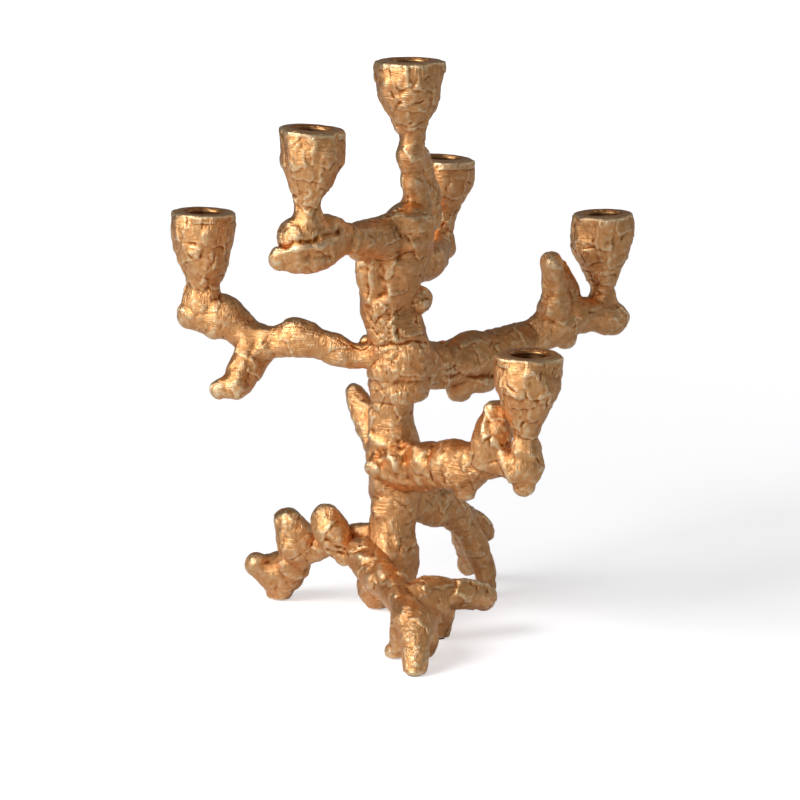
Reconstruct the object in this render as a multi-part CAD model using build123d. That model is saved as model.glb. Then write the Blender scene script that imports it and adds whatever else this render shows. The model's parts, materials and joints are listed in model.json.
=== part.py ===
"""Tabletop candelabra for six dinner candles, hand-modelled in the shape of a gnarled branch.

It is cast in sections. A lower post stands on three bolted-on legs and a foot of its own, a
collar sits on the post, and the upper trunk sits on the collar. A tie rod clamps these three.
The five arms and the top stem are screwed to the trunk and post on studs, and every arm ends in
a candle cup on a stud of its own. Each cup is lined with a drawn metal liner, and felt pads are
stuck under the feet.

Frame: +Z up, +X to the right and +Y to the back of the object, with its origin on the table at
the middle of its bounding box. Units are millimetres.
"""

from build123d import *
import math
import os

# ---------------------------------------------------------------- driving dimensions

# The layout is drawn for a top cup whose foot is 324 mm up, and for arms that reach 150 mm.
LAYOUT_RISE = 324.0
LAYOUT_REACH = 150.0
TOP_CUP_FOOT_HEIGHT = 324.0
ARM_REACH = 150.0

CANDLE_DIAMETER = 22.0
CANDLE_CLEARANCE = 0.75
LINER_WALL = 0.8
LINER_DEPTH = 24.0
LINER_SET_BACK = 0.8
GLUE_GAP = 0.05

CUP_HEIGHT = 51.0
CUP_MOUTH_CHAMFER = 0.7

STUD_RADIUS = 3.0
STUD_CLEARANCE = 0.1
STUD_END_GAP = 0.5
ARM_STUD_LENGTH = 26.0
LEG_STUD_LENGTH = 22.0
CUP_STUD_LENGTH = 20.0

COLLAR_THICKNESS = 15.0
COLLAR_RADIUS = 18.0
COLLAR_BULGE = 1.06
COLLAR_BOTTOM = 151.5
COLLAR_NOTCH = 22.0
COLLAR_PLACE = (-1.0, 0.0)

TIE_ROD_RADIUS = 4.0
TIE_ROD_CLEARANCE = 0.3
TIE_ROD_IN_TRUNK = 46.0
TIE_ROD_PLACE = (-3.0, -2.0)
NUT_ACROSS_FLATS = 13.0
NUT_HEIGHT = 6.5
WASHER_RADIUS = 8.0
WASHER_THICKNESS = 1.6
NUT_POCKET_ROOF = 40.0
NUT_POCKET_CLEARANCE = 1.0
THREAD_BELOW_NUT = 3.0

PAD_THICKNESS = 1.2
PAD_RADIUS = 4.5

# ---------------------------------------------------------------- how the surface is modelled

RING_POINTS = 8
RING_SPACING = 9.0
LUMP_LENGTH = 11.0
LIMB_ROUGHNESS = 0.085
CUP_ROUGHNESS = 0.03
DOME_ANGLES = (35.0, 62.0, 80.0)
# Two castings that share less than this many cubic millimetres only touch.
TOUCHING = 0.05
# How wide the blocks are that trim the castings, and how far a bore is cut past a rim.
TRIM_SPAN = 600.0
PAST_RIM = 1.0

# A candle cup's outline: (share of the height, share of the way from neck to belly).
CUP_OUTLINE = (
    (0.0, 0.0), (0.13, 0.13), (0.26, 0.36), (0.40, 0.60),
    (0.55, 0.83), (0.70, 0.97), (0.83, 1.0), (1.0, 0.96),
)
CUP_ROOT_LENGTH = 13.0
CUP_ROOT_FLARE = 1.3

# ---------------------------------------------------------------- the layout of the branches

# Each limb is a list of (x, y, z, radius) down its middle.
POST = [
    (-5, 0, COLLAR_BOTTOM + 5.5, 13.3), (-5, 0, COLLAR_BOTTOM - 1.5, 13.3),
    (-4.5, 0, 137, 14.5), (-3, 2, 122, 15.8), (-3, 2, 105, 17.6), (-4, 2, 88, 17.0),
    (-5, 2, 71, 16.0), (-5, 0, 55, 16.0), (-3.5, -3, 42, 17.6), (-3, -4, 34, 14.5),
]
POST_KNOB = [(-8, -6, 108, 12.2), (-15, -12, 108, 7.0)]
POST_FIN = [(-10, 8, 112, 9.5), (-19, 15, 128, 8.4), (-26, 21, 141, 7.4), (-30, 25, 150, 5.8)]
MIDDLE_FOOT = [(-13, 10, 36, 13.2), (-17, 20, 18, 10.4), (-15, 30, 3, 7.6)]

LEFT_LEG = [
    (-12, 3, 57, 9.5), (-27, 10, 57, 7.2), (-37, 18, 50, 8.6), (-51, 27, 44, 8.2),
    (-69, 40, 31, 9.8), (-79, 50, 16, 11.0), (-82, 53, 1, 7.0),
]
LEFT_LEG_TOE = [(-78, 50, 19, 13.2), (-90, 46, 22, 11.2), (-98, 42, 27, 7.4)]
LEFT_LEG_LOG = [(-49, 7, 68, 9.4), (-46, 5, 61, 11.4), (-41, 3, 52, 10.4), (-37, 2, 44, 6.6)]
LEFT_LEG_BULB = [(-74.5, 30, 57, 10.2), (-70.5, 31, 47, 13.2), (-66, 36, 36, 10.0)]

FRONT_LEG = [
    (-25, -7, 47, 11.0), (-14, -31, 38, 10.6), (-5, -50, 35, 10.0), (1, -75, 31, 9.2),
    (9, -100, 26, 12.0), (9, -118, 15, 8.8), (9, -128, 3, 7.2),
]
FRONT_TOE = [(5, -98, 24, 8.8), (1, -95, 13, 6.8), (-4, -90, 4, 5.0)]
FRONT_SLAB = [(12, -95, 26, 10.3), (17, -94, 12, 7.2), (17, -96, 5, 5.0)]
FRONT_BAR = [(3, -64, 30, 9.8), (20, -56, 32, 10.2), (39, -48, 31, 9.8), (54, -42, 27, 8.8)]
FRONT_WEB = [(22, -55, 28, 10.6), (26, -50, 17, 9.2), (25, -45, 3, 6.2)]

BACK_LEG = [
    (0, 4, 78, 12.0), (20, 23, 72, 11.6), (33, 36, 68, 10.6), (43, 46, 55, 9.8),
    (51, 52, 38, 8.6), (57, 56, 19, 7.2), (59, 54, 3, 6.6),
]
BACK_LEG_KNOB = [(41, 50, 60, 9.0), (53, 61, 49, 8.8), (59, 67, 43, 6.4)]
BACK_LEG_STUB = [(43, 58, 46, 8.0), (46, 80, 29, 6.8), (48, 97, 12, 6.2)]

UPPER_TRUNK = [
    (-0.5, 0, COLLAR_BOTTOM + 9.5, 20.2), (0, 0, 172, 20.5), (-1, 2, 186, 19.6),
    (-4, 2, 200, 18.0), (-8, 2, 216, 18.0), (-6, 0, 233, 19.4), (-2, -2, 250, 22.0),
    (3, -4, 262, 19.0),
]
TRUNK_BOULDER = [(-24, -24, 259, 11.2), (-10, -18, 262, 14.6), (5, -12, 266, 16.8)]
TRUNK_BUMP = [(0, 2, 218, 10.0), (11, 4, 217, 9.3)]
TRUNK_KNOT = [(-12, 6, 186, 9.0), (-21, 8, 187, 5.4)]
TRUNK_FINGER = [(-22, -8, 243, 6.0), (-22, -8, 231, 5.2), (-20, -8, 220, 5.0)]
TRUNK_SHOULDER = [(6, 8, 240, 15.0), (17, 16, 240, 12.0)]

LEFT_ARM = [
    (-10, 0, 182, 13.0), (-28, 2, 180, 8.2), (-43, 4, 183, 9.2), (-66, 8, 190, 11.2),
    (-86, 14, 186, 10.4), (-101, 18, 189, 11.6), (-112, 22, 198, 13.4),
    (-125, 25, 201.5, 14.8), (-138, 22, 203, 9.4),
]
LEFT_ARM_SPUR = [
    (-99, 16, 186, 10.8), (-103, 8, 173, 9.8), (-109, 0, 160, 9.4), (-119, -2, 157, 5.4),
]
LEFT_ARM_WEB = [(-88, 12, 184, 9.2), (-97, 8, 174, 9.2), (-105, 2, 161, 8.4)]

UPPER_LEFT_ARM = [
    (-10, -22, 261, 13.5), (-33, -47, 266, 10.4), (-48, -60, 267, 15.0), (-62, -70, 270, 15.6),
]
UPPER_LEFT_ARM_SLAB = [
    (-38, -58, 262, 6.0), (-52, -69, 258, 8.9), (-66, -75, 259, 9.8), (-75.5, -77, 258, 7.4),
]

TOP_STEM = [
    (9, 0, 268, 12.0), (10, -2, 288, 7.2), (8.5, -6, 296, 6.6), (7, -8, 306, 7.4),
    (6, -9, 314, 8.6),
]
TOP_STEM_JOINT = 288
TOP_STEM_SEAM = (9.5, 0, 288)
TOP_STEM_BAND = [(17, 20, 268, 9.5), (17, 15, 288, 7.8), (15, 8, 300, 7.2), (10, -2, 313, 6.6)]

BACK_ARM = [
    (8, 12, 240, 14.0), (17, 42, 236, 12.0), (21, 75, 234, 11.2), (22.5, 100, 235, 10.6),
]
BACK_ARM_KNOB = [(22, 82, 231, 8.6), (26, 92, 236, 7.0)]

RIGHT_ARM = [
    (8, 8, 174, 15.5), (26, 28, 168, 14.2), (47, 45, 170, 16.8), (67, 60, 171, 15.0),
    (88, 70, 177, 11.8), (108, 78, 189, 13.4), (126, 88, 191, 11.2), (144, 96, 187, 12.0),
]
RIGHT_ARM_KEEL = [(43, 42, 163, 12.4), (41, 42, 150, 9.0)]
RIGHT_ARM_CHIN = [(42, 41, 154, 9.0), (57, 50, 158, 11.0), (72, 60, 165, 9.6)]
RIGHT_ARM_HEEL = [(109, 79, 186, 9.0), (112, 80, 177, 7.4)]
RIGHT_ARM_FINGER = [(105, 75, 197, 12.4), (105, 72, 213, 8.8), (101.5, 68, 229, 7.4)]
RIGHT_ARM_THUMB = [(116, 84, 198, 9.6), (111, 81, 213, 8.4), (107, 79, 222, 6.4)]

LOWER_ARM = [
    (0, -8, 107, 16.0), (23, -28, 112, 15.2), (40, -44, 117, 15.4), (53, -56, 122, 12.0),
    (67, -66, 124, 9.8), (80, -74, 122, 11.8),
]
LOWER_ARM_BELLY = [(44, -46, 109, 12.0), (43, -46, 101, 7.2)]
LOWER_ARM_FIN = [(57, -60, 126, 12.4), (59.5, -60, 142, 11.8), (62, -58, 153, 8.4)]
LOWER_ARM_TIP = [(80, -74, 121, 11.2), (80, -75, 110, 6.4)]

# Each cup: its casting, its foot, how far it leans per millimetre of height in x and y, its
# neck and belly radii and its height as a share of CUP_HEIGHT.
CUPS = {
    "left": ("left_arm", (-131, 25, 223), (0.04, 0.0), 9.8, 20.8, 0.96),
    "upper_left": ("upper_left_arm", (-58, -72, 291), (0.06, 0.0), 7.9, 21.2, 0.97),
    "top": ("top_stem", (6.5, -10, 324), (0.0, 0.0), 7.4, 20.8, 1.02),
    "back": ("back_arm", (27, 110, 246), (0.05, 0.0), 8.0, 20.4, 0.97),
    "right": ("right_arm", (139, 97, 206), (-0.02, 0.0), 8.6, 21.2, 1.04),
    "lower_right": ("lower_arm", (81, -75, 143), (0.02, -0.02), 7.4, 20.8, 1.05),
}

FEET = ("left_leg", "front_leg", "back_leg", "lower_post")
# Where the felt pads go: (x, y) under the sole of each foot that stands on the table.
PAD_PLACES = ((-82, 53), (9, -128), (59, 54), (25, -45), (-15, 31))


# ---------------------------------------------------------------- geometry helpers

def place(x, y, z):
    """A point of the layout, stretched to the real reach and height."""
    spread = ARM_REACH / LAYOUT_REACH
    rise = TOP_CUP_FOOT_HEIGHT / LAYOUT_RISE
    return Vector(x * spread, y * spread, z * rise)


def lumpiness(point):
    """A smooth number from -1 to 1 that varies over the modelled surface."""
    x, y, z = (value / LUMP_LENGTH for value in point)
    slow = math.sin(0.9 * x + 0.7 * y + 0.5) * math.cos(0.8 * z - 0.6 * x)
    quick = math.sin(1.9 * z + 1.3 * y) * math.cos(1.7 * x - 1.1 * z + 0.8)
    return 0.6 * slow + 0.4 * quick


def hermite(before, start, end, after, share):
    """One value on the Catmull-Rom curve from start to end."""
    t, t2, t3 = share, share**2, share**3
    return 0.5 * (
        2 * start
        + (end - before) * t
        + (2 * before - 5 * start + 4 * end - after) * t2
        + (3 * start - before - 3 * end + after) * t3
    )


class Limb:
    """A lumpy branch swept down a smooth spine, which can be parted at any of its stations."""

    def __init__(self, stations, roughness=LIMB_ROUGHNESS, placed=False):
        self.roughness = roughness
        points = [
            (Vector(*s[:3]) if placed else place(*s[:3]), s[3]) for s in stations
        ]
        self.centres, self.radii, self.ring_of = [points[0][0]], [points[0][1]], [0]
        last = len(points) - 1
        for i in range(last):
            span = [points[max(0, min(last, k))] for k in (i - 1, i, i + 1, i + 2)]
            length = (span[2][0] - span[1][0]).length
            steps = max(1, round(length / RING_SPACING))
            for step in range(1, steps + 1):
                share = step / steps
                self.centres.append(hermite(*(p[0] for p in span), share))
                self.radii.append(hermite(*(p[1] for p in span), share))
            self.ring_of.append(len(self.centres) - 1)
        self.planes = self._planes()

    def _planes(self):
        """A plane across the spine at each ring, turned as little as can be from the last."""
        planes, side = [], None
        for i, centre in enumerate(self.centres):
            before = self.centres[max(0, i - 1)]
            after = self.centres[min(len(self.centres) - 1, i + 1)]
            along = (after - before).normalized()
            if side is None:
                side = Vector(0, 1, 0) if abs(along.Y) < 0.8 else Vector(1, 0, 0)
            side = (side - along * side.dot(along)).normalized()
            planes.append(Plane(origin=centre, x_dir=side, z_dir=along))
        return planes

    def _wire(self, plane, radius):
        """The lumpy outline of the branch on one plane."""
        points = []
        for i in range(RING_POINTS):
            angle = 2 * math.pi * i / RING_POINTS
            out = plane.x_dir * math.cos(angle) + plane.y_dir * math.sin(angle)
            lump = self.roughness * lumpiness(plane.origin + out * radius)
            points.append(plane.origin + out * (radius * (1 + lump)))
        return Wire([Edge.make_spline(points, periodic=True)])

    def _dome(self, ring, way):
        """The outlines that round off one end, from the ring outwards."""
        plane, radius = self.planes[ring], self.radii[ring]
        wires = []
        for angle in DOME_ANGLES:
            turn = math.radians(angle)
            origin = plane.origin + plane.z_dir * (way * radius * math.sin(turn))
            shifted = Plane(origin=origin, x_dir=plane.x_dir, z_dir=plane.z_dir)
            wires.append(self._wire(shifted, radius * math.cos(turn)))
        return wires

    def solid(self, first=0, last=None, round_start=True, round_end=True):
        """The solid from one station to another, rounded only at the ends that stay free."""
        last = len(self.ring_of) - 1 if last is None else last
        low, high = self.ring_of[first], self.ring_of[last]
        wires = [
            self._wire(self.planes[k], self.radii[k]) for k in range(low, high + 1)
        ]
        if first == 0 and round_start:
            wires = self._dome(low, -1)[::-1] + wires
        if last == len(self.ring_of) - 1 and round_end:
            wires = wires + self._dome(high, 1)
        return Solid.make_loft(wires)

    def seam(self, station):
        """The plane across the spine at a station."""
        return self.planes[self.ring_of[station]]


def rod(plane, radius, below, above):
    """A round bar along a plane's normal, from below its origin to above it."""
    foot = Plane(
        origin=plane.origin - plane.z_dir * below, x_dir=plane.x_dir, z_dir=plane.z_dir
    )
    return Solid.make_cylinder(radius, below + above, foot)


def slab_between(low, high):
    """A wide block between two heights, to trim castings with."""
    middle = Location((0, 0, (low + high) / 2))
    return middle * Box(TRIM_SPAN, TRIM_SPAN, high - low)


def clear_of(child, parent):
    """The child, without what the parent's lumps would reach of it."""
    shared = child.intersect(parent)
    if shared is None or sum(solid.volume for solid in shared.solids()) < TOUCHING:
        return child
    return child.cut(parent)


# ---------------------------------------------------------------- the assembly

class Candelabra:
    """Collects the solids of every casting, what is drilled out of it, and its hardware."""

    def __init__(self):
        self.bodies = {}
        self.drills = {}
        self.studs = {"arm_studs": [], "leg_studs": [], "cup_studs": []}
        self.nodes = {}
        self.cup_planes = {}
        self.joints = []
        self.pads = []

    def add(self, node, *solids):
        """Adds solids that are fused into a casting."""
        self.bodies.setdefault(node, []).extend(solids)

    def drill(self, node, cutter):
        """Adds a hole to a casting."""
        self.drills.setdefault(node, []).append(cutter)

    def screw(self, parent, child, seam, group, length):
        """A stud across a seam, in clearance holes in both castings."""
        half = length / 2
        self.studs[group].append(rod(seam, STUD_RADIUS, half, half))
        deep = half + STUD_END_GAP
        for node in (parent, child):
            self.drill(node, rod(seam, STUD_RADIUS + STUD_CLEARANCE, deep, deep))

    def branch(self, parent, child, stations, group, length, station=1):
        """A limb that is parted at a station: its root is on the parent, the rest a casting."""
        limb = Limb(stations)
        self.add(parent, limb.solid(last=station))
        self.add(child, limb.solid(first=station))
        self.joints.append((parent, child))
        self.screw(parent, child, limb.seam(station), group, length)

    # ------------------------------------------------------------ castings

    def lower_post(self):
        """The post with its fin, knob and own foot, up to the collar."""
        self.add("lower_post", Limb(POST).solid(round_start=False))
        for stations in (POST_KNOB, POST_FIN, MIDDLE_FOOT):
            self.add("lower_post", Limb(stations).solid())

    def legs(self):
        """The three legs that are screwed to the post."""
        self.branch("lower_post", "left_leg", LEFT_LEG, "leg_studs", LEG_STUD_LENGTH)
        for stations in (LEFT_LEG_TOE, LEFT_LEG_LOG, LEFT_LEG_BULB):
            self.add("left_leg", Limb(stations).solid())
        self.branch("lower_post", "front_leg", FRONT_LEG, "leg_studs", LEG_STUD_LENGTH)
        for stations in (FRONT_TOE, FRONT_SLAB, FRONT_BAR, FRONT_WEB):
            self.add("front_leg", Limb(stations).solid())
        self.branch("lower_post", "back_leg", BACK_LEG, "leg_studs", LEG_STUD_LENGTH)
        for stations in (BACK_LEG_KNOB, BACK_LEG_STUB):
            self.add("back_leg", Limb(stations).solid())

    def collar(self):
        """The slab between the post and the trunk, flat where they sit on it."""
        low, high = collar_heights()
        middle = place(*COLLAR_PLACE, 0)
        rows = [
            (middle.X, middle.Y, low, COLLAR_RADIUS),
            (middle.X, middle.Y, (low + high) / 2, COLLAR_RADIUS * COLLAR_BULGE),
            (middle.X, middle.Y, high, COLLAR_RADIUS),
        ]
        limb = Limb(rows, placed=True)
        self.add("collar", limb.solid(round_start=False, round_end=False))

    def upper_trunk(self):
        """The trunk above the collar, with its boulder and bumps."""
        self.add("upper_trunk", Limb(UPPER_TRUNK).solid(round_start=False))
        for stations in (
            TRUNK_BOULDER, TRUNK_BUMP, TRUNK_KNOT, TRUNK_FINGER, TRUNK_SHOULDER,
        ):
            self.add("upper_trunk", Limb(stations).solid())

    def arms(self):
        """The arms and the top stem."""
        plans = (
            ("upper_trunk", "left_arm", LEFT_ARM, (LEFT_ARM_SPUR, LEFT_ARM_WEB)),
            ("upper_trunk", "upper_left_arm", UPPER_LEFT_ARM, (UPPER_LEFT_ARM_SLAB,)),
            ("upper_trunk", "back_arm", BACK_ARM, (BACK_ARM_KNOB,)),
            ("upper_trunk", "right_arm", RIGHT_ARM,
             (RIGHT_ARM_KEEL, RIGHT_ARM_CHIN, RIGHT_ARM_HEEL, RIGHT_ARM_FINGER, RIGHT_ARM_THUMB)),
            ("lower_post", "lower_arm", LOWER_ARM,
             (LOWER_ARM_BELLY, LOWER_ARM_FIN, LOWER_ARM_TIP)),
        )
        for parent, child, stations, extras in plans:
            self.branch(parent, child, stations, "arm_studs", ARM_STUD_LENGTH)
            for extra in extras:
                self.add(child, Limb(extra).solid())

    def top_stem(self):
        """The two strands that carry the top cup, parted from the trunk on one level."""
        level = place(0, 0, TOP_STEM_JOINT).Z
        for stations in (TOP_STEM, TOP_STEM_BAND):
            strand = Limb(stations).solid()
            self.add("upper_trunk", strand.cut(slab_between(level, level + TRIM_SPAN)))
            self.add("top_stem", strand.cut(slab_between(level - TRIM_SPAN, level)))
        spot = place(*TOP_STEM_SEAM)
        seam = Plane(origin=(spot.X, spot.Y, level), z_dir=(0, 0, 1))
        self.screw("upper_trunk", "top_stem", seam, "arm_studs", ARM_STUD_LENGTH)

    def cups(self):
        """The six candle cups on their arms, bored for their liners."""
        for name, (arm, foot, lean, neck, belly, share) in CUPS.items():
            axis = Vector(lean[0], lean[1], 1).normalized()
            base, height = place(*foot), CUP_HEIGHT * share
            stations = [base - axis * CUP_ROOT_LENGTH] + [
                base + axis * (height * up) for up, _ in CUP_OUTLINE
            ]
            radii = [neck * CUP_ROOT_FLARE] + [
                neck + (belly - neck) * out for _, out in CUP_OUTLINE
            ]
            rows = [(*tuple(p), r) for p, r in zip(stations, radii)]
            limb = Limb(rows, CUP_ROUGHNESS, placed=True)
            cup = f"{name}_cup"
            self.add(arm, limb.solid(last=1))
            self.add(cup, limb.solid(first=1, round_end=False))
            self.screw(arm, cup, limb.seam(1), "cup_studs", CUP_STUD_LENGTH)
            rim = limb.seam(len(rows) - 1)
            self.cup_planes[name] = rim
            self.line_cup(name, cup, rim)

    def line_cup(self, name, cup, rim):
        """The bore in a cup's rim and the liner in it."""
        outer = liner_bore_radius() + LINER_WALL
        hole = outer + GLUE_GAP
        deep = LINER_SET_BACK + LINER_DEPTH + GLUE_GAP
        self.drill(cup, rod(rim, hole, deep, PAST_RIM))
        mouth = Plane(
            origin=rim.origin - rim.z_dir * CUP_MOUTH_CHAMFER,
            x_dir=rim.x_dir,
            z_dir=rim.z_dir,
        )
        flare = Solid.make_cone(
            hole, hole + 2 * CUP_MOUTH_CHAMFER, 2 * CUP_MOUTH_CHAMFER, mouth
        )
        self.drill(cup, flare)
        shell = rod(rim, outer, LINER_SET_BACK + LINER_DEPTH, -LINER_SET_BACK)
        floor = LINER_SET_BACK + LINER_DEPTH - LINER_WALL
        bore = rod(rim, liner_bore_radius(), floor, PAST_RIM)
        self.nodes[f"{name}_cup_liner"] = shell - bore

    # ------------------------------------------------------------ hardware

    def tie_rod(self):
        """The rod that clamps trunk, collar and post, with its nut and washer in a pocket."""
        axis = place(*TIE_ROD_PLACE, 0)
        low, high = collar_heights()
        roof = place(0, 0, NUT_POCKET_ROOF).Z
        washer_low = roof - WASHER_THICKNESS
        nut_low = washer_low - NUT_HEIGHT
        rod_low, rod_high = nut_low - THREAD_BELOW_NUT, high + TIE_ROD_IN_TRUNK

        def upright(z):
            return Plane(origin=(axis.X, axis.Y, z), z_dir=(0, 0, 1))

        length = rod_high - rod_low
        self.nodes["tie_rod"] = rod(upright(rod_low), TIE_ROD_RADIUS, 0, length)
        loose = TIE_ROD_RADIUS + TIE_ROD_CLEARANCE
        for node in ("lower_post", "collar"):
            self.drill(node, rod(upright(0), loose, 0, high))
        tapped = length + STUD_END_GAP
        self.drill("upper_trunk", rod(upright(rod_low), TIE_ROD_RADIUS, 0, tapped))
        nut_corner = NUT_ACROSS_FLATS / 2 / math.cos(math.radians(30))
        pocket = max(WASHER_RADIUS, nut_corner) + NUT_POCKET_CLEARANCE
        self.drill("lower_post", rod(upright(0), pocket, 0, roof))
        washer = rod(upright(washer_low), WASHER_RADIUS, 0, WASHER_THICKNESS)
        self.nodes["tie_rod_washer"] = washer - rod(upright(0), loose, 0, high)
        hexagon = RegularPolygon(NUT_ACROSS_FLATS / 2, 6, major_radius=False)
        nut = extrude(upright(nut_low) * hexagon, NUT_HEIGHT)
        self.nodes["tie_rod_nut"] = nut - rod(upright(0), TIE_ROD_RADIUS, 0, high)

    def foot_pads(self):
        """Felt discs under the feet that stand on the table."""
        for x, y in PAD_PLACES:
            spot = place(x, y, 0)
            ground = Plane(origin=(spot.X, spot.Y, 0), z_dir=(0, 0, 1))
            self.pads.append(rod(ground, PAD_RADIUS, 0, PAD_THICKNESS))

    # ------------------------------------------------------------ finishing

    def trims(self):
        """What is cut off each casting: its end at the collar, and its soles."""
        low, high = collar_heights()
        middle = place(*COLLAR_PLACE, 0)
        under = Plane(origin=(middle.X, middle.Y, low), z_dir=(0, 0, 1))
        over = Plane(origin=(middle.X, middle.Y, high), z_dir=(0, 0, 1))
        self.drill("lower_post", rod(under, COLLAR_NOTCH, 0, COLLAR_THICKNESS))
        self.drill("upper_trunk", rod(over, COLLAR_NOTCH, COLLAR_THICKNESS, 0))
        for node in FEET:
            self.drill(node, slab_between(PAD_THICKNESS - TRIM_SPAN, PAD_THICKNESS))

    def build(self):
        """Every node's finished shape, by name, with the origin under the middle."""
        self.lower_post()
        self.legs()
        self.collar()
        self.upper_trunk()
        self.arms()
        self.top_stem()
        self.cups()
        self.tie_rod()
        self.foot_pads()
        self.trims()
        for node, solids in self.bodies.items():
            shape = solids[0].fuse(*solids[1:]) if len(solids) > 1 else solids[0]
            shape = shape.cut(*self.drills.get(node, []))
            self.nodes[node] = shape
        for parent, child in self.joints:
            self.nodes[child] = clear_of(self.nodes[child], self.nodes[parent])
        move = self.centre()
        nodes = {node: move * shape for node, shape in self.nodes.items()}
        for group, pieces in {**self.studs, "felt_pads": self.pads}.items():
            nodes[group] = Compound(children=[move * piece for piece in pieces])
        return nodes

    def centre(self):
        """The move that brings the middle of the bounding box over the origin."""
        boxes = [self.nodes[node].bounding_box() for node in self.bodies]
        left, right = min(b.min.X for b in boxes), max(b.max.X for b in boxes)
        front, back = min(b.min.Y for b in boxes), max(b.max.Y for b in boxes)
        return Location((-(left + right) / 2, -(front + back) / 2, 0))


def collar_heights():
    """The heights of the collar's underside and top."""
    low = place(0, 0, COLLAR_BOTTOM).Z
    return low, low + COLLAR_THICKNESS


def liner_bore_radius():
    """The radius that a candle slides into."""
    return CANDLE_DIAMETER / 2 + CANDLE_CLEARANCE


def main():
    """Builds the candelabra and writes one STEP file for each node."""
    os.makedirs("parts", exist_ok=True)
    for node, shape in Candelabra().build().items():
        export_step(shape, f"parts/{node}.step")


if __name__ == "__main__":
    main()
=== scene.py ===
import itertools
import json
import logging
import math
from dataclasses import dataclass
from enum import Enum

import bmesh
import bpy
import numpy as np
from mathutils import Matrix, Vector
from mathutils.bvhtree import BVHTree
from mathutils.kdtree import KDTree

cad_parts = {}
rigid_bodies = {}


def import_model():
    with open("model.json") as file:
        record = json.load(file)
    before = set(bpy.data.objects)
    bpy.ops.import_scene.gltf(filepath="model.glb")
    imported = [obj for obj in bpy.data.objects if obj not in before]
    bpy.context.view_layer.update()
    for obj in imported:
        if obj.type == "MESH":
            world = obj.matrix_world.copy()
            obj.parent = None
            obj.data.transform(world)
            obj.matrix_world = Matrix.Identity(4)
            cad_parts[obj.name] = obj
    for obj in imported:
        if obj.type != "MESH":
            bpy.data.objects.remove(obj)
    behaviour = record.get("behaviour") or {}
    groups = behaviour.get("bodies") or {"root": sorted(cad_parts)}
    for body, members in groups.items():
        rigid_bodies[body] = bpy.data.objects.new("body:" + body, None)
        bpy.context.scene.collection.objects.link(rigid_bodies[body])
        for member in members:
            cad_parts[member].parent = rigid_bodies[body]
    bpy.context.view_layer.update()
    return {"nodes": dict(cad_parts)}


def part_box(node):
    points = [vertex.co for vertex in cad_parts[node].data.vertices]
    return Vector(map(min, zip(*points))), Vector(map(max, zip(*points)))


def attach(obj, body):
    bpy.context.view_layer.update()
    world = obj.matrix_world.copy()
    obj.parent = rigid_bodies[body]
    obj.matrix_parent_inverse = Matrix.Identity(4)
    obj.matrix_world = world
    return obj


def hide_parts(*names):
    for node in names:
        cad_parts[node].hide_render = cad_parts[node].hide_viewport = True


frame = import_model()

LOG = logging.getLogger("candelabra")
MM = 0.001
BODY = "root"
UP = Vector((0, 0, 1))

CUP_NAMES = ("left", "upper_left", "top", "back", "right", "lower_right")
BRANCH_NODES = (
    "lower_post", "left_leg", "front_leg", "back_leg", "collar", "upper_trunk", "left_arm",
    "upper_left_arm", "top_stem", "back_arm", "right_arm", "lower_arm",
)
CUP_NODES = tuple(f"{name}_cup" for name in CUP_NAMES)
CASTINGS = BRANCH_NODES + CUP_NODES
STUDS = ("arm_studs", "leg_studs", "cup_studs")
HARDWARE = STUDS + ("tie_rod", "tie_rod_nut", "tie_rod_washer")


class Slot(Enum):
    """The record's material slots."""

    GOLD = "gold_casting"
    LINER = "cup_liner"
    STEEL = "plated_steel"
    FELT = "felt"


# ---------------------------------------------------------------- small helpers


def object_from(mesh: bpy.types.Mesh, name: str) -> bpy.types.Object:
    """Links a mesh to the scene as an object at the origin.

    Args:
        mesh: The finished mesh.
        name: The object's name.

    Returns:
        The new object.
    """
    obj = bpy.data.objects.new(name, mesh)
    bpy.context.scene.collection.objects.link(obj)
    return obj


def mesh_from(bm: bmesh.types.BMesh, name: str) -> bpy.types.Mesh:
    """Turns a bmesh into a mesh and frees it.

    Args:
        bm: The bmesh, which can't be used afterwards.
        name: The mesh's name.

    Returns:
        The new mesh.
    """
    mesh = bpy.data.meshes.new(name)
    bm.to_mesh(mesh)
    bm.free()
    return mesh


def applied(obj: bpy.types.Object) -> bpy.types.Mesh:
    """The object's mesh with its modifiers worked in. The object is removed.

    Args:
        obj: An object with modifiers.

    Returns:
        The evaluated mesh.
    """
    graph = bpy.context.evaluated_depsgraph_get()
    mesh = bpy.data.meshes.new_from_object(obj.evaluated_get(graph))
    bpy.data.objects.remove(obj)
    return mesh


def coordinates(mesh: bpy.types.Mesh) -> np.ndarray:
    """The mesh's vertex positions as rows of x, y and z."""
    flat = np.empty(len(mesh.vertices) * 3, np.float32)
    mesh.vertices.foreach_get("co", flat)
    return flat.reshape(-1, 3).astype(float)


def vertex_normals(mesh: bpy.types.Mesh) -> np.ndarray:
    """The mesh's vertex normals as rows of x, y and z."""
    flat = np.empty(len(mesh.vertices) * 3, np.float32)
    mesh.vertices.foreach_get("normal", flat)
    return flat.reshape(-1, 3).astype(float)


def smoothstep(low: float, high: float, value: np.ndarray) -> np.ndarray:
    """0 below low, 1 above high and an S-curve between them."""
    t = np.clip((value - low) / (high - low), 0, 1)
    return t * t * (3 - 2 * t)


def islands(bm: bmesh.types.BMesh) -> list[list[bmesh.types.BMVert]]:
    """The vertices of each connected part of a bmesh.

    Args:
        bm: Any bmesh.

    Returns:
        One list of vertices for each part.
    """
    seen: set[bmesh.types.BMVert] = set()
    found = []
    for start in bm.verts:
        if start in seen:
            continue
        seen.add(start)
        group, front = [], [start]
        while front:
            vertex = front.pop()
            group.append(vertex)
            for edge in vertex.link_edges:
                other = edge.other_vert(vertex)
                if other not in seen:
                    seen.add(other)
                    front.append(other)
        found.append(group)
    return found


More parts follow.
